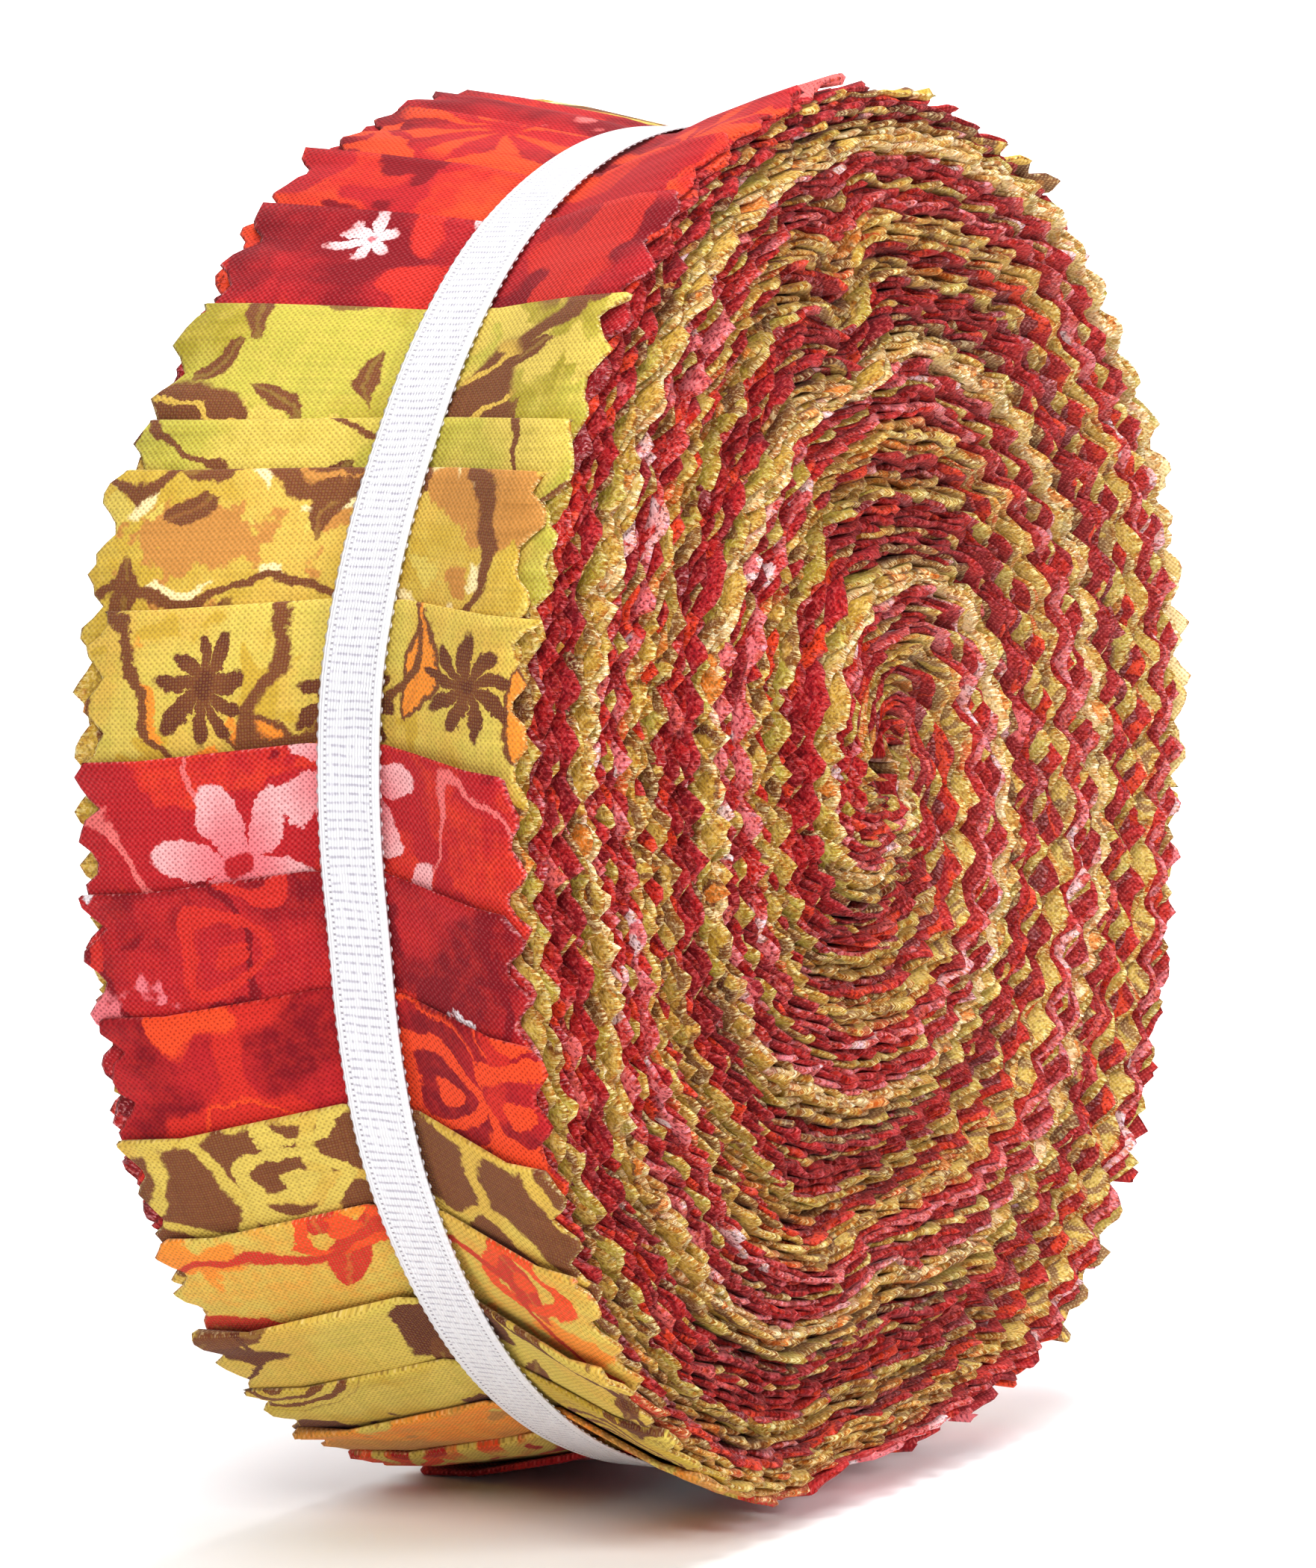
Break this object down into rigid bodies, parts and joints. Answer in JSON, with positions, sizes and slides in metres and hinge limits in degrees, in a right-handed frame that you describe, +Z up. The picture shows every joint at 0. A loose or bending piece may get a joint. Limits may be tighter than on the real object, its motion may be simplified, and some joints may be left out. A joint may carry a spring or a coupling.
{
  "type": "jelly roll of fabric strips",
  "caption": "Wound roll of pinked printed cotton strips standing on its rim, with staggered loose ends all round and a white ribbon round its waist.",
  "frame": {"origin": "middle of the resting flat spot, at the bottom centre of the roll's box", "axes": "+Z up, +Y along the roll's axis away from the front face, +X right as seen from the front"},
  "size_m": [0.1882, 0.0674, 0.1871],
  "materials": {
    "wound_cotton": "matte",
    "white_ribbon": "satin",
    "cotton_crimson": "matte",
    "cotton_poppy": "matte",
    "cotton_orange": "matte",
    "cotton_maroon": "matte",
    "cotton_olive": "matte",
    "cotton_mustard": "matte",
    "cotton_gold": "matte",
    "cotton_brown": "matte",
    "cotton_cream": "matte",
    "cotton_rose": "matte"
  },
  "bodies": {
    "root": {"roll": "wound_cotton", "ribbon": "white_ribbon", "strip_end_01": "cotton_cream", "strip_end_02": "cotton_gold", "strip_end_03": "cotton_cream", "strip_end_04": "cotton_olive", "strip_end_05": "cotton_crimson", "strip_end_06": "cotton_rose", "strip_end_07": "cotton_brown", "strip_end_08": "cotton_maroon", "strip_end_09": "cotton_poppy", "strip_end_10": "cotton_mustard", "strip_end_11": "cotton_crimson", "strip_end_12": "cotton_crimson", "strip_end_13": "cotton_poppy", "strip_end_14": "cotton_orange", "strip_end_15": "cotton_maroon", "strip_end_16": "cotton_olive", "strip_end_17": "cotton_olive", "strip_end_18": "cotton_mustard", "strip_end_19": "cotton_gold", "strip_end_20": "cotton_crimson", "strip_end_21": "cotton_maroon", "strip_end_22": "cotton_poppy", "strip_end_23": "cotton_brown", "strip_end_24": "cotton_orange", "strip_end_25": "cotton_gold", "strip_end_26": "cotton_mustard", "strip_end_27": "cotton_orange", "strip_end_28": "cotton_gold", "strip_end_29": "cotton_crimson", "strip_end_30": "cotton_rose", "strip_end_31": "cotton_poppy", "strip_end_32": "cotton_maroon", "strip_end_33": "cotton_crimson", "strip_end_34": "cotton_olive", "strip_end_35": "cotton_rose", "strip_end_36": "cotton_crimson", "strip_end_37": "cotton_maroon", "strip_end_38": "cotton_rose", "strip_end_39": "cotton_mustard", "strip_end_40": "cotton_cream"}
  },
  "joints": []
}
